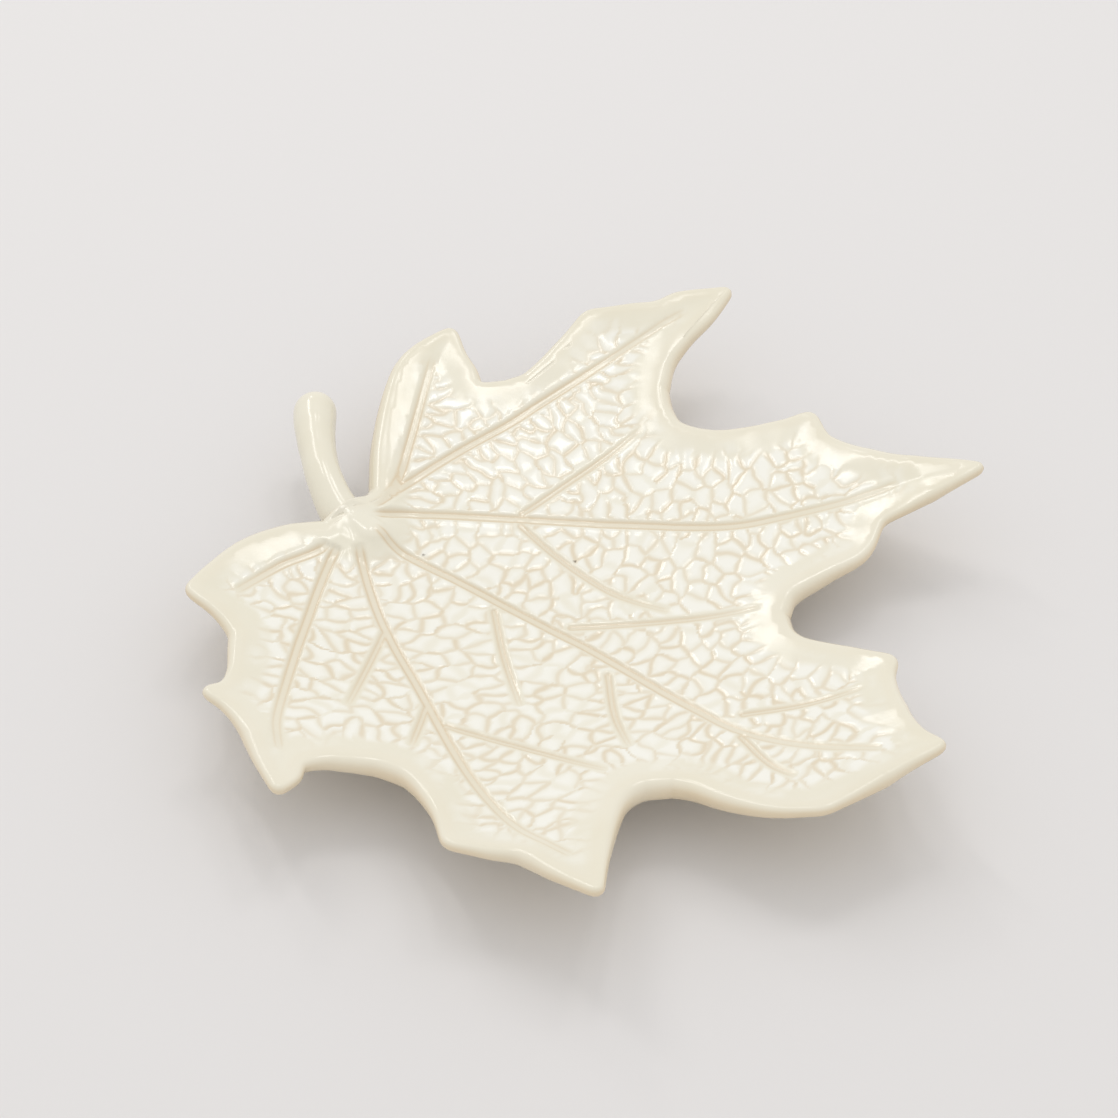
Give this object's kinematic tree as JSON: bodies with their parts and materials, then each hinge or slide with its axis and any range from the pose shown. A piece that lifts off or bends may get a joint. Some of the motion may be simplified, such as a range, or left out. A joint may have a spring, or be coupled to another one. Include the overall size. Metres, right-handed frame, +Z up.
{
  "type": "ring dish",
  "caption": "Shallow leaf-shaped ceramic dish with lobed rounded rim, pressed veins, a short bent stalk and a low foot ring, for holding rings and small things.",
  "frame": {"origin": "below the middle of the bounding box, on the surface that the foot ring rests on", "axes": "+Z up, out of the dish's hollow; +X towards the tip of the main left lobe, +Y towards the tip of the side left lobe, away from the picture's camera"},
  "size_m": [0.1482, 0.1564, 0.0222],
  "materials": {
    "leaf_glaze": "glossy cream glaze, pooled tan in the pressed lines",
    "stalk_glaze": "glossy cream glaze",
    "bare_clay": "matt, unglazed"
  },
  "bodies": {
    "root": {"leaf_dish": "leaf_glaze", "stalk": "stalk_glaze", "foot_ring": "bare_clay"}
  },
  "joints": []
}
